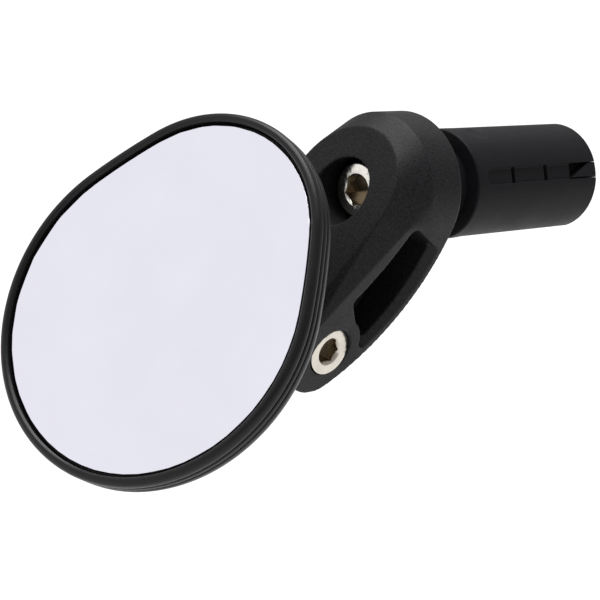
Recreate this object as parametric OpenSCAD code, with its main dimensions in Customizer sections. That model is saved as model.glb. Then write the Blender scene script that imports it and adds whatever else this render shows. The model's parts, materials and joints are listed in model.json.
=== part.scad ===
// Bar-end bicycle mirror: expanding bar plug, swivelling arm, forked pivot, ball joint and head.
// Origin: centre of the plug sleeve's near end. +X points into the handlebar, +Z is up.
// The arm hangs towards -X and -Z, and is symmetric about the plane y = 0.

/* [Bar plug] */
// Outside diameter of the plug sleeve
plug_d = 20; // [18:0.5:21]
// Length of the plug sleeve
plug_len = 35; // [34:0.2:40]
// Number of channels round the sleeve, one key of the cone in each
channel_count = 4; // [3:1:4]
// Width of each channel
channel_w = 3; // [2.4:0.1:3.4]
// Angle of the first channel, up from -Y
channel_angle = 27; // [0:1:60]
// Distance from the cap's rear face to the sleeve
neck_gap = 8.4; // [7:0.2:10]

/* [Bolts] */
// Thread diameter of the centre bolt
centre_d = 6; // [5:0.5:6]
// Length of the centre bolt under its head
centre_len = 45; // [44:1:46]
// Thread diameter of the pivot screw
pivot_d = 5; // [4:0.5:5]

/* [Arm] */
// Diameter of the arm's round end
cap_d = 26.8; // [26:0.2:29]
// Taper of each side wall towards the pivot
wall_taper = 10; // [8:0.5:11]
// Lean of the flat front face away from the vertical
face_lean = 27; // [24:1:30]
// Distance of the front face from the sleeve, on the plug's axis
face_x = 25.5; // [25:0.5:27]
// Width of the bevel band round the front face
band_w = 2.4; // [1.8:0.1:3]
// Thickness of the strap behind the side slot
strap_t = 1.2; // [1:0.1:1.6]
// Gap of the fork at the pivot
fork_gap = 7.8; // [7.6:0.1:8]

/* [Head] */
// Length of the stalk from the pivot to the ball's centre
stalk_len = 20.4; // [20:0.2:22]
// Rise of the stalk above the horizontal
stalk_rise = 17.2; // [10:0.2:25]
// Lean of the glass back from the vertical
head_tilt = 28.5; // [24:0.5:32]
// Turn of the head about its long axis
head_yaw = 5.2; // [0:0.2:8]
// Turn of the head in its own plane
head_roll = -1.8; // [-4:0.2:4]
// Radius of the glass at its broad end
broad_r = 26.9; // [26:0.1:30]
// Radius of the glass at its narrow end
narrow_r = 21.1; // [19:0.1:22]
// Distance between the centres of the two end curves
end_span = 11.6; // [10:0.2:13]
// Height of the glass face above the ball's centre
glass_h = 15.9; // [15.5:0.1:17]
// Width of the rim outside the glass
rim_w = 2.2; // [1.8:0.1:2.8]

/* [Hidden] */
$fn = 96;
hull_fn = 32;
round_fn = 64;
face_fn = 96;
arc_fn = 120;
eps = 0.01;

plug_r = plug_d / 2;
cap_r = cap_d / 2;

// Centre bolt, its washer and nut (x positions along the plug's axis)
bolt_r = centre_d / 2;
bolt_head_r = 5;
bolt_head_h = 6;
bolt_hex = 5;
bolt_hex_deep = 3.2;
bolt_edge = 0.5;
bolt_csk = 0.4;
bolt_lead = 0.7;
centre_clear = 0.2;
bolt_seat = -15;
bolt_washer_r = 5.5;
bolt_washer_t = 1.6;
arm_floor = bolt_seat + bolt_washer_t;
bolt_front = bolt_seat - bolt_head_h;
bolt_end = bolt_seat + centre_len;
nut_t = 5;
nut_af = 10;
nut_x = bolt_end - nut_t - 0.4;

// Sleeve and expander cone
sleeve_bore_r = 6.6;
sleeve_seam = 18;
sleeve_edge = 0.2;
flare_x = 20;
flare_r = 8.5;
cone_clear = 0.15;
channel_start = 2.6;
channel_deep = 0.7;
channel_end = 27.5;
groove_x = [10.2, 19.7];
groove_w = 0.9;
groove_deep = 1.5;
score_turn = [22, -33];
score_w = 0.2;
score_deep = 0.12;
key_r = plug_r - 0.2;
key_low = 0.25 - channel_w / 2;
key_high = channel_w / 2 - 0.05;
key_tip = channel_end + 0.1;
key_shoulder = 33.1;
key_step = 32.6;
key_root = 5;
gate_x = 6.3;
gate_angle = 84;
gate_r = 2;
gate_deep = 0.3;

// Neck between the arm and the sleeve
neck_r = 7.4;
spigot_r = 5;
spigot_len = 2.9;
disc_t = 0.8;
neck_recess_r = 7.9;
o_ring_r = 1.05;
o_ring_x = -4.6;
bearing_clear = 0.05;

// Pivot between the arm and the stalk
pivot_x = -28;
pivot_z = -26;
pivot_r = pivot_d / 2;
pivot_head_r = 4.25;
pivot_head_h = 2.8;
pivot_hex = 4;
pivot_hex_deep = 2.2;
pivot_csk = 0.6;
pivot_head_y = -8.7;
pivot_nut_af = 8;
pivot_nut_t = 2.7;
pivot_nut_y = 5.9;
eye_r = 5.2;
eye_w = 7;
eye_clear = 0.4;
washer_t = 0.35;
bush_r = 3.3;
post_r = 3.2;
post_len = 12.4;
fan_r = 4;
fan_reach = 26;
fan_angles = [140, 180, 220, 255];

// Side view of the arm: rear edge is an arc, the tip is round, the front edge is straight
rear_arc = [-46.4, -1.8];
rear_arc_r = 37.5;
tip = [-29.4, -26.8];
tip_r = 7.35;
wall_low = -36;
wall_top = [-20.9, -2.3];
wall_front = [-33.6, -20.1];
boss_r = 6.6;
slot_top = [-18.95, -2];
slot_front = [[-20.9, -6.2], [-22.7, -9.6], [-24.9, -12.9], [-27.4, -16.1], [-24.6, -20.3]];
slot_low = [[-24, -30], [-9, -30]];
slot_rear = [-9, -7.9];
slot_round = 1.5;
lip_w = 1.8;
lip_deep = 1.2;
pocket_floor = 3;
well_wall_r = 7.3;
cap_front = -16.3;
face_end = -17;
face_end_r = 7.6;
well_clear = 0.7;
bore_clear = 0.3;
spigot_end_clear = 0.1;
head_clear = 0.15;
nut_clear = 0.1;

// Ball joint
ball_r = 5;
ball_neck_r = 2.2;
ball_stud_r = 2;
ball_flange_r = 3.2;
ball_flange_t = 1;
stud_root = 4.5;
liner_r = 6.3;
liner_h = 3.6;
liner_mouth = 3.9;
mouth_h = 1.6;
mouth_step = 0.6;
socket_r1 = 12.4;
socket_r2 = 9;
socket_back = -4.6;
socket_top = 6.4;
socket_edge = 0.8;
socket_mouth = [5.2, 3.8];
retainer_t = 1.6;
retainer_r = 10;
small_screw_r = 0.9;
small_head_r = 1.7;
small_pcd_r = 8.2;

// Head, in its own frame: ball centre at the origin, x to the narrow end, z out of the glass
broad_x = -5.6;
side_arc_r = 105.5;
glass_t = 2;
pad_t = 0.8;
plate_t = 1.2;
wall_t = 1.8;
rim_proud = 0.9;
rim_bottom = glass_h - glass_t - 0.05;
// Outside of the rim: [distance in from the widest line, height over the rim's lower face]
rim_steps = [[0, 1.9], [0.35, 2.5], [0.9, glass_h + rim_proud - rim_bottom]];
gasket_w = 0.45;
// Outside of the shell: [height, distance outside the glass outline]
dome = [[13.8, 2.2], [13.1, 2.2], [12.4, 1.95], [11.4, 1.3], [10.2, 0.2],
        [8.8, -1.8], [7.4, -4.6], [6.2, -8.2], [5.3, -12.6], [4.8, -17.5]];

// Egg-shaped outline of the head, grown by `out`: two end arcs joined by two long side arcs
function egg(out, steps = 40) =
    let (rb = broad_r + out, rn = narrow_r + out, rs = side_arc_r + out,
         db = rs - rb, dn = rs - rn,
         cx = (db * db - dn * dn + end_span * end_span) / (2 * end_span),
         cy = -sqrt(db * db - cx * cx),
         ab = atan2(-cy, -cx), an = atan2(-cy, end_span - cx))
    concat(
        [for (i = [0 : steps]) let (a = ab + (360 - 2 * ab) * i / steps)
            [broad_x + rb * cos(a), rb * sin(a)]],
        [for (i = [1 : 5]) let (a = -ab + (ab - an) * i / 6)
            [broad_x + cx + rs * cos(a), -cy + rs * sin(a)]],
        [for (i = [0 : steps / 2]) let (a = -an + 2 * an * i / (steps / 2))
            [broad_x + end_span + rn * cos(a), rn * sin(a)]],
        [for (i = [1 : 5]) let (a = an + (ab - an) * i / 6)
            [broad_x + cx + rs * cos(a), cy + rs * sin(a)]]);

module egg_plate(out, z, h) translate([0, 0, z]) linear_extrude(h) polygon(egg(out));

// Solid of the dome, shrunk by `inset` on every side
module egg_dome(inset) {
    hull() for (s = dome) egg_plate(s[1] - inset, s[0] + inset * 0.9, eps);
}

// Round piece along the plug's axis, from x = a to x = b
module bar_x(a, b, r1, r2) translate([a, 0, 0]) rotate([0, 90, 0]) cylinder(h = b - a, r1 = r1, r2 = r2);
module rod_x(a, b, r) bar_x(a, b, r, r);
module hex_x(a, b, af) translate([a, 0, 0]) rotate([0, 90, 0]) cylinder(h = b - a, r = af / sqrt(3), $fn = 6);

// Round piece along Y through the pivot, from y = a to y = b
module rod_y(a, b, r) translate([0, b, 0]) rotate([90, 0, 0]) cylinder(h = b - a, r = r);
module hex_y(a, b, af) translate([0, b, 0]) rotate([90, 0, 0]) cylinder(h = b - a, r = af / sqrt(3), $fn = 6);

module at_pivot() translate([pivot_x, 0, pivot_z]) children();

// Stalk frame: z runs from the pivot to the ball's centre
module at_stalk() at_pivot() rotate([0, stalk_rise - 90, 0]) children();

// Head frame: origin at the ball's centre
module at_head() {
    translate([pivot_x - stalk_len * cos(stalk_rise), 0, pivot_z + stalk_len * sin(stalk_rise)])
        rotate([0, head_tilt - 90, 0]) rotate([head_yaw, 0, 0]) rotate([0, 0, head_roll]) children();
}

// Something repeated at each channel of the sleeve, with the channel on +Z there
module at_channels() {
    for (i = [0 : channel_count - 1])
        rotate([90 - channel_angle + i * 360 / channel_count, 0, 0]) children();
}

// ---- bar plug ----

module channel() {
    floor_z = plug_r - channel_deep;
    translate([channel_start + channel_w / 2, -channel_w / 2, floor_z])
        cube([channel_end - channel_start, channel_w, 2]);
    translate([channel_start + channel_w / 2, 0, floor_z]) cylinder(h = 2, d = channel_w);
    translate([channel_end, -channel_w / 2, 2]) cube([plug_len, channel_w, plug_r]);
    for (x = groove_x) translate([x, -channel_w / 2, plug_r - groove_deep]) cube([groove_w, channel_w, 2]);
    for (a = score_turn) rotate([a, 0, 0])
        translate([channel_start, -score_w / 2, plug_r - score_deep]) cube([plug_len, score_w, 1]);
}

// Round mark left by the mould's gate, on top of the sleeve
module gate_mark() rotate([90 - gate_angle, 0, 0])
    translate([gate_x, 0, plug_r - gate_deep]) cylinder(h = 1, r = gate_r);

module plug_sleeve() color([0.09, 0.09, 0.1]) difference() {
    rotate([sleeve_seam, 0, 0]) {
        bar_x(0, sleeve_edge, plug_r - sleeve_edge, plug_r);
        rod_x(sleeve_edge, plug_len - sleeve_edge, plug_r);
        bar_x(plug_len - sleeve_edge, plug_len, plug_r, plug_r - sleeve_edge);
    }
    rod_x(-1, flare_x + eps, sleeve_bore_r);
    bar_x(flare_x, plug_len + eps, sleeve_bore_r, flare_r);
    at_channels() channel();
    gate_mark();
}

// The cone's key: a slanted front edge, and full width at its root end
module key() translate([0, 0, key_root]) linear_extrude(key_r - key_root)
    polygon([[key_tip, key_low], [key_step, key_low], [key_step, -key_high], [plug_len, -key_high],
             [plug_len, key_high], [key_shoulder, key_high]]);

module expander_cone() color([0.13, 0.13, 0.14]) difference() {
    union() {
        bar_x(flare_x + 1, plug_len, sleeve_bore_r - cone_clear, flare_r - cone_clear);
        intersection() {
            at_channels() key();
            rod_x(flare_x, plug_len, key_r);
        }
    }
    rod_x(flare_x, plug_len, bolt_r + centre_clear);
    hex_x(nut_x, plug_len + 1, nut_af);
}

module cone_nut() color("silver") difference() {
    hex_x(nut_x, nut_x + nut_t, nut_af);
    rod_x(nut_x - 1, nut_x + nut_t + 1, bolt_r);
}

module centre_bolt() color("silver") difference() {
    union() {
        bar_x(bolt_front, bolt_front + bolt_edge, bolt_head_r - bolt_edge, bolt_head_r);
        rod_x(bolt_front + bolt_edge, bolt_seat, bolt_head_r);
        rod_x(bolt_seat, bolt_end - bolt_lead, bolt_r);
        bar_x(bolt_end - bolt_lead, bolt_end, bolt_r, bolt_r - bolt_lead);
    }
    hex_x(bolt_front - 1, bolt_front + bolt_hex_deep, bolt_hex);
    bar_x(bolt_front - eps, bolt_front + bolt_csk, bolt_hex / 2 + bolt_csk, bolt_hex / 2);
}

module bolt_washer() color("silver") difference() {
    rod_x(bolt_seat, arm_floor, bolt_washer_r);
    rod_x(bolt_seat - 1, arm_floor + 1, bolt_r + centre_clear);
}

module neck_collar() color([0.12, 0.12, 0.13]) difference() {
    union() {
        rod_x(-neck_gap - spigot_len, -neck_gap, spigot_r);
        rod_x(-neck_gap, 0, neck_r);
        rod_x(0, channel_start, sleeve_bore_r);
    }
    rod_x(-neck_gap - spigot_len - 1, channel_start + 1, bolt_r + centre_clear);
    translate([o_ring_x, 0, 0]) rotate([0, 90, 0]) rotate_extrude()
        translate([neck_r, 0]) circle(r = o_ring_r, $fn = 48);
}

module neck_o_ring() color([0.05, 0.05, 0.05]) translate([o_ring_x, 0, 0]) rotate([0, 90, 0])
    rotate_extrude() translate([neck_r, 0]) circle(r = o_ring_r, $fn = 48);

module swivel_disc() color([0.3, 0.28, 0.25]) difference() {
    rod_x(-neck_gap - disc_t, -neck_gap, neck_r);
    rod_x(-neck_gap - 1, -neck_gap + 1, spigot_r);
}

// ---- arm ----

// Front view of the arm, seen along the plug's axis: round end and two straight tapering walls
module pear(inset) {
    r = cap_r - inset;
    w_top = r / cos(wall_taper);
    w_low = w_top + wall_low * tan(wall_taper);
    circle(r = r, $fn = face_fn);
    polygon([[-w_low, wall_low], [w_low, wall_low], [r * cos(wall_taper), -r * sin(wall_taper)],
             [-r * cos(wall_taper), -r * sin(wall_taper)]]);
}

module side_view() intersection() {
    translate(rear_arc) circle(r = rear_arc_r, $fn = arc_fn);
    hull() {
        translate(tip) circle(r = tip_r, $fn = round_fn);
        polygon([wall_top, wall_front, [-neck_gap, wall_top[1]]]);
        translate([-neck_gap - tip_r, wall_front[1]]) circle(r = tip_r, $fn = round_fn);
    }
}

// Flat front face, narrower than the arm by the bevel band, laid on the leaning plane
module front_face() multmatrix([[1, 0, tan(face_lean), -face_x], [0, 1, 0, 0], [0, 0, 1, 0]])
    rotate([90, 0, 90]) linear_extrude(eps) intersection() {
        pear(band_w);
        hull() {
            circle(r = cap_r, $fn = face_fn);
            translate([0, face_end]) circle(r = face_end_r, $fn = round_fn);
        }
    }

module arm_outside() hull() {
    rod_x(cap_front, -neck_gap - 0.5, cap_r);
    rod_x(cap_front, -neck_gap, cap_r - 0.5);
    intersection() {
        rotate([90, 0, 0]) linear_extrude(2 * cap_d, center = true) side_view();
        translate([-60, 0, 0]) rotate([90, 0, 90]) linear_extrude(60) pear(0);
    }
    front_face();
}

// Outline of the side pocket, leaving a strap this thick behind it
module side_slot(strap) offset(r = slot_round) offset(delta = -slot_round) difference() {
    intersection() {
        translate(rear_arc) circle(r = rear_arc_r - strap, $fn = arc_fn);
        polygon(concat([slot_rear, slot_top], slot_front, slot_low));
    }
    translate([pivot_x, pivot_z]) circle(r = boss_r, $fn = 96);
}

module slot_prism(strap) translate([0, -cap_r - pocket_floor, 0]) rotate([90, 0, 0])
    linear_extrude(2 * cap_r, center = true) side_slot(strap);

// Frame on the -Y wall, over the centre of the rear arc, with z into the wall
module at_wall() translate([rear_arc[0], -cap_r / cos(wall_taper) - rear_arc[1] * tan(wall_taper), rear_arc[1]])
    rotate([wall_taper - 90, 0, 0]) children();

// Blind pocket in the -Y wall, with a bevelled lip along the strap
module side_pocket() {
    slot_prism(strap_t + lip_w);
    intersection() {
        slot_prism(strap_t);
        at_wall() translate([0, 0, -lip_deep])
            cylinder(h = 2 * lip_deep, r1 = rear_arc_r - strap_t + lip_w, r2 = rear_arc_r - strap_t - lip_w);
    }
}

// Both pockets, with a web between them and a wall kept round the bolt's well
module side_pockets() difference() {
    union() {
        side_pocket();
        mirror([0, 1, 0]) side_pocket();
    }
    rod_x(-60, 0, well_wall_r);
}

// Space in the fork that the stalk sweeps
module fork_space() rotate([90, 0, 0]) linear_extrude(fork_gap, center = true) {
    translate([pivot_x, pivot_z]) circle(r = eye_r + eye_clear);
    hull() {
        translate([pivot_x, pivot_z]) circle(r = fan_r, $fn = hull_fn);
        for (a = fan_angles)
            translate([pivot_x + fan_reach * cos(a), pivot_z + fan_reach * sin(a)]) circle(r = fan_r, $fn = hull_fn);
    }
}

module arm_body() color([0.1, 0.1, 0.11]) difference() {
    arm_outside();
    side_pockets();
    fork_space();
    rod_x(-2 * face_x, arm_floor, bolt_head_r + well_clear);
    rod_x(arm_floor - 1, 0, bolt_r + bore_clear);
    rod_x(-neck_gap - spigot_len - spigot_end_clear, 0, spigot_r + bearing_clear);
    rod_x(-neck_gap - disc_t - bearing_clear, 0, neck_recess_r);
    at_pivot() rod_y(-cap_d, cap_d, pivot_r + bearing_clear);
    at_pivot() rod_y(-cap_d, pivot_head_y + pivot_head_h, pivot_head_r + head_clear);
    at_pivot() hex_y(pivot_nut_y, cap_d, pivot_nut_af + nut_clear);
}

// ---- pivot ----

module pivot_screw() color("silver") at_pivot() difference() {
    union() {
        rod_y(pivot_head_y, pivot_head_y + pivot_head_h, pivot_head_r);
        rod_y(pivot_head_y + pivot_head_h, pivot_nut_y + pivot_nut_t, pivot_r);
    }
    hex_y(pivot_head_y - 1, pivot_head_y + pivot_hex_deep, pivot_hex);
    translate([0, pivot_head_y - eps, 0]) rotate([-90, 0, 0])
        cylinder(h = pivot_csk, r1 = pivot_hex / 2 + pivot_csk, r2 = pivot_hex / 2);
}

module pivot_nut() color("silver") at_pivot() difference() {
    hex_y(pivot_nut_y, pivot_nut_y + pivot_nut_t, pivot_nut_af);
    rod_y(pivot_nut_y - 1, pivot_nut_y + pivot_nut_t + 1, pivot_r);
}

module pivot_washers() color([0.75, 0.75, 0.72]) at_pivot() {
    for (s = [-1, 1]) difference() {
        rod_y(s * (fork_gap - washer_t) / 2 - washer_t / 2, s * (fork_gap - washer_t) / 2 + washer_t / 2, eye_r - 0.3);
        rod_y(-fork_gap, fork_gap, pivot_r + bearing_clear);
    }
}

module knuckle() color([0.11, 0.11, 0.12]) difference() {
    union() {
        at_pivot() rod_y(-eye_w / 2, eye_w / 2, eye_r);
        at_stalk() cylinder(h = post_len, r = post_r);
    }
    at_pivot() rod_y(-eye_w, eye_w, bush_r);
    at_stalk() translate([0, 0, stud_root]) cylinder(h = post_len, r = ball_stud_r);
}

module pivot_bush() color([0.7, 0.62, 0.4]) at_pivot() difference() {
    rod_y(-eye_w / 2, eye_w / 2, bush_r);
    rod_y(-eye_w, eye_w, pivot_r + bearing_clear);
}

// ---- ball joint ----

module ball_stud() color("silver") at_stalk() {
    translate([0, 0, stud_root]) cylinder(h = post_len - stud_root, r = ball_stud_r);
    translate([0, 0, post_len]) cylinder(h = ball_flange_t, r = ball_flange_r, $fn = 6);
    translate([0, 0, post_len]) cylinder(h = stalk_len - post_len, r = ball_neck_r);
    translate([0, 0, stalk_len]) sphere(r = ball_r);
}

module ball_liner() color([0.85, 0.84, 0.8]) at_head() difference() {
    translate([0, 0, -liner_h]) cylinder(h = 2 * liner_h, r = liner_r);
    sphere(r = ball_r + bearing_clear);
    translate([0, 0, -liner_h - eps]) cylinder(h = mouth_h, r1 = liner_mouth, r2 = liner_mouth - mouth_step);
}

module socket_holes(r, h) {
    for (a = [30, 150, 270]) rotate([0, 0, a]) translate([small_pcd_r, 0, 0]) cylinder(h = h, r = r, $fn = 32);
}

module head_shell() color([0.1, 0.1, 0.11]) at_head() difference() {
    union() {
        difference() {
            egg_dome(0);
            egg_dome(wall_t);
            egg_plate(0.5, dome[0][0] - pad_t - plate_t, 10);
        }
        translate([0, 0, socket_back + socket_edge])
            cylinder(h = socket_top - socket_back - socket_edge, r1 = socket_r2, r2 = socket_r1);
        translate([0, 0, socket_back]) cylinder(h = socket_edge, r1 = socket_r2 - socket_edge, r2 = socket_r2);
    }
    translate([0, 0, -liner_h - 0.1]) cylinder(h = 20, r = liner_r + bearing_clear);
    translate([0, 0, socket_back - 1]) cylinder(h = 3, r1 = socket_mouth[0], r2 = socket_mouth[1]);
    translate([0, 0, liner_h + 0.1]) cylinder(h = 3, r = retainer_r + 0.2);
    socket_holes(small_screw_r, 20);
}

module socket_retainer() color([0.2, 0.2, 0.21]) at_head() difference() {
    translate([0, 0, liner_h + 0.1]) cylinder(h = retainer_t, r = retainer_r);
    translate([0, 0, liner_h]) cylinder(h = 3, r = 4.4);
    socket_holes(small_screw_r, 20);
}

module retainer_screws() color("silver") at_head() {
    socket_holes(small_screw_r, liner_h + retainer_t + 0.6);
    translate([0, 0, liner_h + retainer_t + 0.1]) socket_holes(small_head_r, 1);
}

// ---- head ----

module backing_plate() color([0.2, 0.2, 0.21]) at_head()
    egg_plate(0.3, glass_h - glass_t - pad_t - plate_t, plate_t);

module glass_pad() color([0.25, 0.25, 0.26]) at_head() egg_plate(-1.2, glass_h - glass_t - pad_t, pad_t);

module mirror_glass() color([0.9, 0.9, 0.95]) at_head() egg_plate(0, glass_h - glass_t, glass_t);

module glass_gasket() color([0.03, 0.03, 0.03]) at_head() difference() {
    egg_plate(gasket_w, glass_h - glass_t, glass_t - 0.5);
    egg_plate(0, glass_h - glass_t - 1, glass_t + 2);
}

module rim_ring() color([0.08, 0.08, 0.09]) at_head() difference() {
    hull() {
        for (s = rim_steps) egg_plate(rim_w - s[0], rim_bottom, s[1]);
    }
    egg_plate(gasket_w + bearing_clear, rim_bottom - 1, 10);
}

plug_sleeve();
expander_cone();
cone_nut();
centre_bolt();
bolt_washer();
neck_collar();
neck_o_ring();
swivel_disc();
arm_body();
pivot_screw();
pivot_nut();
pivot_washers();
knuckle();
pivot_bush();
ball_stud();
ball_liner();
head_shell();
socket_retainer();
retainer_screws();
backing_plate();
glass_pad();
mirror_glass();
rim_ring();
glass_gasket();
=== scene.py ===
"""Looks of a bar-end bicycle mirror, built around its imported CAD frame.

Sizes are in mm and are turned into metres where they reach Blender.
"""
import json
import math

import bpy
from mathutils import Matrix, Vector


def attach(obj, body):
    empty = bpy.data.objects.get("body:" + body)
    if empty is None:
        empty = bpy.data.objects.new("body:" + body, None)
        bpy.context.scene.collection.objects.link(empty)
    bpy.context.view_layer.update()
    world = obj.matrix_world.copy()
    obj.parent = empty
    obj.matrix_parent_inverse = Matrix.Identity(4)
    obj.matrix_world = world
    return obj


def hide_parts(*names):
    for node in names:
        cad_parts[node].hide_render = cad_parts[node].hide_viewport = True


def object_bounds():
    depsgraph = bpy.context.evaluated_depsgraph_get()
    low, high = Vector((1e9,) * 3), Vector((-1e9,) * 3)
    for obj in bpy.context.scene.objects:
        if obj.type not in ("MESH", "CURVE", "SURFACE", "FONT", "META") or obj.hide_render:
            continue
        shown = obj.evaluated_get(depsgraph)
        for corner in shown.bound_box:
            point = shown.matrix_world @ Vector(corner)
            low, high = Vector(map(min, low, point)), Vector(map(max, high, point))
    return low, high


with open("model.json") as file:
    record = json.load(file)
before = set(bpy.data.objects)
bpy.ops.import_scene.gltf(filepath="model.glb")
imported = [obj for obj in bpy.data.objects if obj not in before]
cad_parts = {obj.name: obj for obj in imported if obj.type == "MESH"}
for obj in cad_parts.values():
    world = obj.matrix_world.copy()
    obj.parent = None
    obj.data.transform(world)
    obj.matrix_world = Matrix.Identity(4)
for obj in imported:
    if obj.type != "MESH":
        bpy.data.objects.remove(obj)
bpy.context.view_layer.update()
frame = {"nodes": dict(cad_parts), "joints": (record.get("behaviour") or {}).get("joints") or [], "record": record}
NODES = frame["nodes"]
JOINTS = {j["name"]: j for j in frame["joints"]}
MM = 0.001

# ---- head frame, from the joints: origin at the ball's centre, z out of the glass, x to the narrow end ----

HEAD_ROLL = math.radians(-1.8)
BALL = Vector(JOINTS["head_spin"]["pos_m"])
OUT = Vector(JOINTS["head_spin"]["axis"]).normalized()
SIDE = OUT.cross(Vector(JOINTS["head_yaw"]["axis"])).normalized()
LONG = SIDE.cross(OUT)
HEAD = Matrix((LONG, SIDE, OUT)).transposed() @ Matrix.Rotation(HEAD_ROLL, 3, "Z")

# Egg outline of the glass, in mm: two end arcs joined by two long side arcs
BROAD_R = 26.9
NARROW_R = 21.1
BROAD_X = -5.6
END_SPAN = 11.6
SIDE_R = 105.5


# Height of the glass face over the ball's centre
GLASS_H = max((v.co - BALL).dot(OUT) for v in NODES["mirror_glass"].data.vertices) / MM

# Socket heads: axis, lowest point of the node along it (the head's face) and depth of the hexagon
AXIS_X, AXIS_Y = 0, 1
BOLT_HEX_DEEP = 3.2
SCREW_HEX_DEEP = 2.2


def face_at(node, axis):
    """Lowest point of a CAD node along an axis, in mm."""
    return min(v.co[axis] for v in NODES[node].data.vertices) / MM


# ---- materials ----

# Colour sockets of Blender's mix node
MIX_A, MIX_B, MIX_RESULT = 6, 7, 2
# Width of the flow marks in a moulding, and of its coarse waves beside its grain
FLOW_MM = 6.0
WAVE_TO_GRAIN = 3.5
SCRATCH_MM = 0.25


class Nodes:
    """A new material and short calls to add and join its nodes."""

    def __init__(self, name):
        self.material = bpy.data.materials.new(name)
        self.material.use_nodes = True
        self.tree = self.material.node_tree
        self.shader = self.tree.nodes["Principled BSDF"]
        self.place = self.add("ShaderNodeTexCoord").outputs["Object"]

    def add(self, kind, **values):
        node = self.tree.nodes.new(kind)
        for key, value in values.items():
            if key in node.inputs:
                node.inputs[key].default_value = value
            else:
                setattr(node, key, value)
        return node

    def join(self, output, node, name):
        self.tree.links.new(output, node.inputs[name])

    def noise(self, size_mm, detail=3.0, rough=0.55):
        """Noise whose features are about size_mm wide."""
        node = self.add("ShaderNodeTexNoise", Scale=1 / (size_mm * MM), Detail=detail, Roughness=rough)
        self.join(self.place, node, "Vector")
        return node.outputs["Fac"]

    def ramp(self, fac, stops):
        """Colour ramp: stops is a list of (position, colour or grey)."""
        node = self.add("ShaderNodeValToRGB")
        elements = node.color_ramp.elements
        while len(elements) < len(stops):
            elements.new(0.5)
        for element, (at, value) in zip(elements, stops):
            element.position = at
            grey = isinstance(value, (int, float))
            element.color = (value, value, value, 1) if grey else (*value, 1)
        self.join(fac, node, "Fac")
        return node.outputs["Color"]

    def multiply(self, first, second):
        """Product of two colours."""
        mix = self.add("ShaderNodeMix", data_type="RGBA", blend_type="MULTIPLY")
        mix.inputs["Factor"].default_value = 1
        self.tree.links.new(first, mix.inputs[MIX_A])
        self.tree.links.new(second, mix.inputs[MIX_B])
        return mix.outputs[MIX_RESULT]

    def bump(self, height, depth_mm, strength=1.0, over=None):
        """Normal pushed about by a height, on top of another normal if one is given."""
        node = self.add("ShaderNodeBump", Distance=depth_mm * MM, Strength=strength)
        self.join(height, node, "Height")
        if over is not None:
            self.join(over, node, "Normal")
        return node.outputs["Normal"]

    def finish(self, colour=None, roughness=None, normal=None, **constants):
        for output, name in ((colour, "Base Color"), (roughness, "Roughness"), (normal, "Normal")):
            if output is not None:
                self.join(output, self.shader, name)
        for name, value in constants.items():
            self.shader.inputs[name.replace("_", " ")].default_value = value
        return self.material


def scaled(colour, factor):
    return tuple(c * factor for c in colour)


def moulded(name, colour, grain_mm, depth_mm, rough, spread, speckle, shine=0.25):
    """Moulded black plastic: fine grain, faint flow mottling and uneven gloss."""
    m = Nodes(name)
    grain = m.noise(grain_mm, 2.0, 0.6)
    flow = m.noise(FLOW_MM, 3.0)
    dark, light = scaled(colour, 1 - speckle), scaled(colour, 1 + speckle)
    speckles = m.ramp(grain, [(0.35, dark), (0.52, colour), (0.72, light)])
    tint = m.multiply(speckles, m.ramp(flow, [(0.3, 0.88), (0.7, 1.0)]))
    gloss = m.ramp(flow, [(0.25, rough - spread), (0.75, rough + spread)])
    waves = m.bump(m.noise(grain_mm * WAVE_TO_GRAIN, 2.0), depth_mm, 0.35)
    return m.finish(tint, gloss, m.bump(grain, depth_mm, 0.9, waves), Specular_IOR_Level=shine)


def plated(name, colour, rough, axis=None, face_mm=0.0, deep_mm=1.0):
    """Plated metal with fine scratches and slight tarnish, and painted shade darkening down a socket along an
    axis.
    """
    m = Nodes(name)
    scratch = m.noise(SCRATCH_MM, 5.0, 0.7)
    cloud = m.noise(3.0, 3.0)
    tint = m.ramp(cloud, [(0.3, scaled(colour, 0.86)), (0.65, colour)])
    gloss = m.ramp(scratch, [(0.3, rough * 0.7), (0.75, rough * 1.5)])
    if axis is not None:
        split = m.add("ShaderNodeSeparateXYZ")
        m.join(m.place, split, "Vector")
        depth = m.add("ShaderNodeMapRange")
        m.join(split.outputs[axis], depth, "Value")
        depth.inputs["From Min"].default_value = face_mm * MM
        depth.inputs["From Max"].default_value = (face_mm + deep_mm) * MM
        # Painted shade: the metal is darkened and browned down the hexagon socket, standing in for the socket's
        # shade and dark reflections
        tint = m.multiply(tint, m.ramp(depth.outputs["Result"], [(0.06, UNSHADED), (0.3, SOCKET_SHADE)]))
    return m.finish(tint, gloss, m.bump(scratch, 0.006, 0.5), Metallic=1.0)


def soft(name, colour, rough, grain_mm=0.3, depth_mm=0.03):
    """Rubber, foam, fibre and unfilled nylon: dull, with a close grain."""
    m = Nodes(name)
    grain = m.noise(grain_mm, 4.0, 0.65)
    tint = m.ramp(grain, [(0.3, scaled(colour, 0.7)), (0.7, scaled(colour, 1.3))])
    gloss = m.ramp(m.noise(2.0), [(0.3, rough - 0.06), (0.7, rough + 0.06)])
    return m.finish(tint, gloss, m.bump(grain, depth_mm, 0.6), Specular_IOR_Level=0.25)


def silvered(name):
    """First-quality mirror: faint lavender tint, a trace of haze and dust."""
    m = Nodes(name)
    haze = m.noise(14.0, 4.0)
    dust = m.noise(0.35, 2.0)
    tint = m.ramp(haze, [(0.3, (0.80, 0.795, 0.885)), (0.7, (0.835, 0.83, 0.915))])
    specks = m.ramp(dust, [(0.74, 0.02), (0.80, 0.12)])
    return m.finish(tint, specks, Metallic=1.0)


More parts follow.
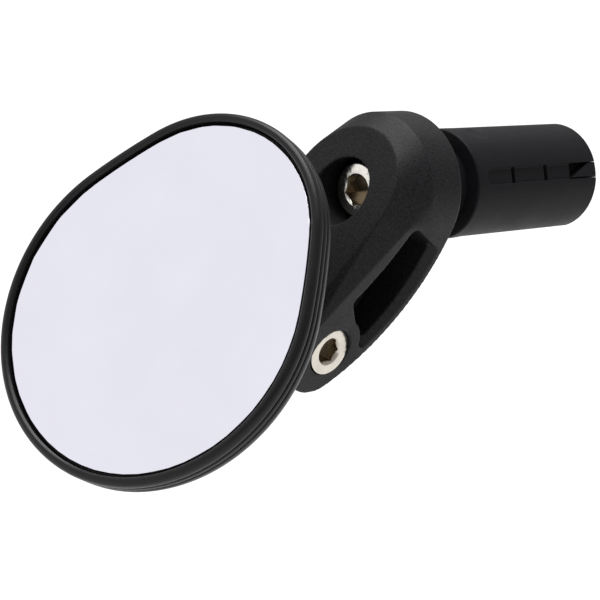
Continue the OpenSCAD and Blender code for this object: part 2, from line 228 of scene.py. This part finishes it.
BLACK = (0.007, 0.007, 0.0078)
# Unshaded factor and painted socket shade colour, multiplied into the plated steel down a hexagon socket
UNSHADED = (1.0, 1.0, 1.0)
SOCKET_SHADE = (0.50, 0.45, 0.38)
FINISHES = {
    "nylon_black": moulded("glass_filled_nylon", (0.0125, 0.0123, 0.0140), grain_mm=0.34, depth_mm=0.05,
                           rough=0.50, spread=0.08, speckle=0.6, shine=0.18),
    "plug_plastic": moulded("plug_moulding", (0.0105, 0.0105, 0.0122), grain_mm=0.5, depth_mm=0.012,
                            rough=0.5, spread=0.05, speckle=0.15, shine=0.09),
    "rim_plastic": moulded("rim_moulding", BLACK, grain_mm=0.22, depth_mm=0.010,
                           rough=0.36, spread=0.05, speckle=0.2),
    "steel_bright": plated("nickel_steel", (0.80, 0.77, 0.70), 0.17),
    "steel_plain": plated("zinc_steel", (0.62, 0.62, 0.63), 0.3),
    "mirror_silver": silvered("silvered_glass"),
    "rubber_black": soft("black_rubber", (0.003, 0.003, 0.003), 0.65),
    "bronze": plated("bearing_bronze", (0.62, 0.43, 0.20), 0.35),
    "liner_white": soft("natural_nylon", (0.75, 0.73, 0.66), 0.45, 0.4, 0.01),
    "fibre": soft("friction_fibre", (0.16, 0.13, 0.10), 0.8, 0.25, 0.04),
    "foam": soft("foam_pad", (0.06, 0.06, 0.065), 0.85, 0.2, 0.05),
}
# The two socket heads have their own steel, with painted shade darkening down the hexagon
SOCKETS = {
    "centre_bolt": plated("bolt_steel", (0.84, 0.81, 0.75), 0.2,
                          AXIS_X, face_at("centre_bolt", AXIS_X), BOLT_HEX_DEEP),
    "pivot_screw": plated("screw_steel", (0.70, 0.65, 0.58), 0.24,
                          AXIS_Y, face_at("pivot_screw", AXIS_Y), SCREW_HEX_DEEP),
}
SLOTS = {s["node"]: s["material_slot"] for s in frame["record"]["subparts"]}


def paint(obj, slot):
    """Gives an object the finish of its material slot."""
    obj.data.materials.clear()
    obj.data.materials.append(FINISHES[slot])


for node_name, node in NODES.items():
    paint(node, SLOTS[node_name])
for node_name, finish in SOCKETS.items():
    NODES[node_name].data.materials[0] = finish


# ---- CAD nodes that keep their shape: rounded edges and smooth shading ----

def smooth(obj):
    """Shades every face smooth."""
    for polygon in obj.data.polygons:
        polygon.use_smooth = True


def soften(node_name, width_mm, segments=2, angle=32):
    """Rounds the sharp edges of a CAD node."""
    obj = NODES[node_name]
    smooth(obj)
    weld = obj.modifiers.new("weld", "WELD")
    weld.merge_threshold = 0.002 * MM
    bevel = obj.modifiers.new("bevel", "BEVEL")
    bevel.width = width_mm * MM
    bevel.segments = segments
    bevel.limit_method = "ANGLE"
    bevel.angle_limit = math.radians(angle)
    bevel.harden_normals = True
    normal = obj.modifiers.new("normals", "WEIGHTED_NORMAL")
    normal.keep_sharp = True


def mould(node_name, voxel_mm, passes):
    """Turns a CAD node into an evenly rounded moulding: fine voxels, then a light smoothing."""
    obj = NODES[node_name]
    smooth(obj)
    remesh = obj.modifiers.new("remesh", "REMESH")
    remesh.mode = "VOXEL"
    remesh.voxel_size = voxel_mm * MM
    remesh.use_smooth_shade = True
    relax = obj.modifiers.new("relax", "SMOOTH")
    relax.factor = 0.5
    relax.iterations = passes


FINE_EDGE = 0.05
# Width of the rounding on each CAD node's edges
EDGES = {
    "expander_cone": 0.12, "cone_nut": 0.25, "centre_bolt": 0.14, "bolt_washer": 0.12,
    "neck_collar": 0.2, "swivel_disc": 0.08, "pivot_screw": 0.2, "pivot_nut": 0.2, "pivot_washers": 0.06,
    "pivot_bush": 0.1, "ball_stud": 0.1, "ball_liner": 0.1, "socket_retainer": 0.15, "retainer_screws": 0.15,
    "knuckle": 0.3,
}
for node_name, width in EDGES.items():
    soften(node_name, width)
for node_name in ("neck_o_ring", "backing_plate", "glass_pad", "mirror_glass", "glass_gasket"):
    soften(node_name, FINE_EDGE, 1)
mould("arm_body", 0.2, 4)
mould("plug_sleeve", 0.15, 2)


# ---- head: lofted shell and rim ----

def arc(centre_x, centre_y, radius, start, end, count):
    """Points along an arc, without its last one."""
    for i in range(count):
        a = start + (end - start) * i / count
        yield (centre_x + radius * math.cos(a), centre_y + radius * math.sin(a))


def egg(out, ends=72, sides=24):
    """Outline of the glass grown by out, in mm, in the head's own plane."""
    broad, narrow, side = BROAD_R + out, NARROW_R + out, SIDE_R + out
    to_broad, to_narrow = side - broad, side - narrow
    cx = (to_broad ** 2 - to_narrow ** 2 + END_SPAN ** 2) / (2 * END_SPAN)
    cy = -math.sqrt(to_broad ** 2 - cx ** 2)
    at_broad = math.atan2(-cy, -cx)
    at_narrow = math.atan2(-cy, END_SPAN - cx)
    full = 2 * math.pi
    points = list(arc(BROAD_X, 0, broad, at_broad, full - at_broad, 2 * ends))
    points += arc(BROAD_X + cx, -cy, side, -at_broad, -at_narrow, sides)
    points += arc(BROAD_X + END_SPAN, 0, narrow, -at_narrow, at_narrow, ends)
    points += arc(BROAD_X + cx, cy, side, at_narrow, at_broad, sides)
    return points


def ring(outline, radius=0.0, share=0.0):
    """An outline drawn towards a circle round the ball's axis: share 0 is the outline, 1 the circle."""
    points = []
    for x, y in outline:
        a = math.atan2(y, x)
        points.append((x + (radius * math.cos(a) - x) * share, y + (radius * math.sin(a) - y) * share))
    return points


def loft(name, rings, body, slot, *replaced):
    """A closed skin through rings of [height, points], the last ring joining the first."""
    count = len(rings[0][1])
    vertices = [BALL + HEAD @ (Vector((x, y, z)) * MM) for z, points in rings for x, y in points]
    faces = []
    for i in range(len(rings)):
        j = (i + 1) % len(rings)
        for k in range(count):
            n = (k + 1) % count
            faces.append((i * count + k, i * count + n, j * count + n, j * count + k))
    mesh = bpy.data.meshes.new(name)
    mesh.from_pydata(vertices, [], faces)
    mesh.update()
    obj = bpy.data.objects.new(name, mesh)
    bpy.context.scene.collection.objects.link(obj)
    smooth(obj)
    paint(obj, slot)
    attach(obj, body)
    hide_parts(*replaced)
    return obj


def spline(points, per_span):
    """Catmull-Rom curve through a closed list of points."""
    out = []
    n = len(points)
    for i in range(n):
        p = [Vector(points[(i + k) % n]) for k in (-1, 0, 1, 2)]
        for s in range(per_span):
            t = s / per_span
            a = 2 * p[1]
            b = p[2] - p[0]
            c = 2 * p[0] - 5 * p[1] + 4 * p[2] - p[3]
            d = -p[0] + 3 * p[1] - 3 * p[2] + p[3]
            out.append((a + b * t + c * t * t + d * t ** 3) / 2)
    return out


# Section of the rim, in mm: [height over the glass face, distance outside the glass], all the way round
RIM_SECTION = [
    (-2.03, 0.55), (-1.0, 0.53), (0.2, 0.53), (0.55, 0.62), (0.8, 0.85), (0.88, 1.15), (0.8, 1.5),
    (0.55, 1.85), (0.2, 2.04), (-0.25, 2.12), (-0.6, 2.1), (-0.78, 2.0), (-0.88, 1.82), (-1.02, 1.84),
    (-1.12, 2.05), (-1.35, 2.12), (-1.7, 2.12), (-1.92, 2.07), (-2.02, 1.95), (-2.04, 1.2),
]


def build_rim():
    """Rolled bead round the glass, with a groove along its side."""
    rings = [(GLASS_H + z, egg(out)) for z, out in spline(RIM_SECTION, 3)]
    return loft("rim_bead", rings, "head", "rim_plastic", "rim_ring")


# Section of the shell, in mm: [height over the ball's centre, distance outside the glass,
# radius of the circle it is drawn towards, share of that circle]
SHELL_SECTION = [
    (13.80, 1.4, 0, 0), (13.78, 2.0, 0, 0), (13.70, 2.09, 0, 0), (13.4, 2.13, 0, 0), (12.9, 2.1, 0, 0),
    (12.2, 1.85, 0, 0), (11.2, 1.15, 0, 0), (10.0, -0.05, 0, 0), (8.8, -1.8, 0, 0), (7.7, -4.1, 0, 0),
    (6.8, -6.8, 14, 0.15), (6.0, -9.6, 14, 0.45), (5.3, -12, 13.6, 0.8), (4.6, -14, 12.8, 1),
    (3.6, -14, 11.9, 1), (2.2, -14, 11.1, 1), (0.2, -14, 10.3, 1), (-2.2, -14, 9.5, 1),
    (-3.8, -14, 8.95, 1), (-4.3, -14, 8.7, 1), (-4.55, -14, 8.3, 1), (-4.6, -14, 7.7, 1),
    (-4.6, -14, 5.3, 1), (-4.5, -14, 4.9, 1), (-3.72, -14, 4.35, 1), (-3.7, -14, 5.4, 1),
    (-3.7, -14, 6.36, 1), (3.7, -14, 6.36, 1), (3.7, -14, 10.2, 1), (6.4, -14, 10.2, 1),
    (7.6, -9.5, 10.2, 0.4), (8.8, -4.6, 10.2, 0), (10.2, -2.2, 0, 0), (11.7, -0.9, 0, 0),
    (11.8, 0.45, 0, 0), (13.8, 0.5, 0, 0),
]


def build_shell():
    """Rear shell, drawn down from the egg outline to the round socket."""
    rings = [(z, ring(egg(out), radius, share)) for z, out, radius, share in SHELL_SECTION]
    shell = loft("rear_shell", rings, "head", "rim_plastic", "head_shell")
    bevel = shell.modifiers.new("bevel", "BEVEL")
    bevel.width = 0.1 * MM
    bevel.segments = 2
    bevel.limit_method = "ANGLE"
    bevel.angle_limit = math.radians(50)
    normal = shell.modifiers.new("normals", "WEIGHTED_NORMAL")
    normal.keep_sharp = True
    return shell


build_rim()
build_shell()


# ---- stage: camera, floor and light ----

LENS = 108.0
SENSOR = 36
CLIP_START = 0.01
CAMERA_AT = Vector((-0.2468, -0.1966, 0.0858))
CAMERA_BACK = Vector((-0.6987, -0.6301, 0.3388)).normalized()
CAMERA_ROLL = math.radians(13.04)
# Direction that the camera sees in the glass
MIRROR_SEES = (2 * OUT.dot(CAMERA_BACK) * OUT - CAMERA_BACK).normalized()
MIRROR_BOX_AWAY = 1.6
TOP_BOX_AT = (0.10, 0.25, 0.9)
LIGHTS_AIM = (-0.02, 0, 0)
FLOOR_DROP = 0.05
FLOOR_HALF = 3.0
FLOOR_GLOW = 0.96
WORLD_GLOW = 0.4


def add_camera():
    data = bpy.data.cameras.new("camera")
    data.lens = LENS
    data.sensor_width = SENSOR
    data.clip_start = CLIP_START
    camera = bpy.data.objects.new("camera", data)
    bpy.context.scene.collection.objects.link(camera)
    level = Vector((0, 0, 1)).cross(CAMERA_BACK).normalized()
    turn = Matrix((level, CAMERA_BACK.cross(level), CAMERA_BACK)).transposed()
    turn = turn @ Matrix.Rotation(CAMERA_ROLL, 3, "Z")
    camera.matrix_world = Matrix.Translation(CAMERA_AT) @ turn.to_4x4()
    bpy.context.scene.camera = camera


def add_light(name, at, size, power):
    """Square soft box facing the object."""
    data = bpy.data.lights.new(name, "AREA")
    data.shape = "RECTANGLE"
    data.size = data.size_y = size
    data.energy = power
    lamp = bpy.data.objects.new(name, data)
    bpy.context.scene.collection.objects.link(lamp)
    lamp.location = at
    lamp.rotation_euler = (Vector(LIGHTS_AIM) - Vector(at)).to_track_quat("-Z", "Y").to_euler()


def add_floor():
    """Pale floor, a little under the lowest point of the object."""
    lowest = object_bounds()[0].z
    z = lowest - FLOOR_DROP
    half = FLOOR_HALF
    mesh = bpy.data.meshes.new("floor")
    corners = [(-half, -half, z), (half, -half, z), (half, half, z), (-half, half, z)]
    mesh.from_pydata(corners, [], [(0, 1, 2, 3)])
    floor = bpy.data.objects.new("floor", mesh)
    bpy.context.scene.collection.objects.link(floor)
    m = Nodes("pale_floor")
    tint = m.ramp(m.noise(60.0), [(0.3, 0.09), (0.7, 0.11)])
    mesh.materials.append(m.finish(tint, Roughness=0.9, Emission_Color=(1, 1, 1, 1),
                                   Emission_Strength=FLOOR_GLOW))


def add_world():
    world = bpy.data.worlds.new("studio")
    world.use_nodes = True
    background = world.node_tree.nodes["Background"]
    background.inputs["Color"].default_value = (1, 1, 1, 1)
    background.inputs["Strength"].default_value = WORLD_GLOW
    bpy.context.scene.world = world


add_camera()
add_floor()
add_world()
add_light("top_box", TOP_BOX_AT, 0.8, 12)
add_light("mirror_box", MIRROR_SEES * MIRROR_BOX_AWAY, 2.2, 8.7)
bpy.context.scene.view_settings.view_transform = "Standard"
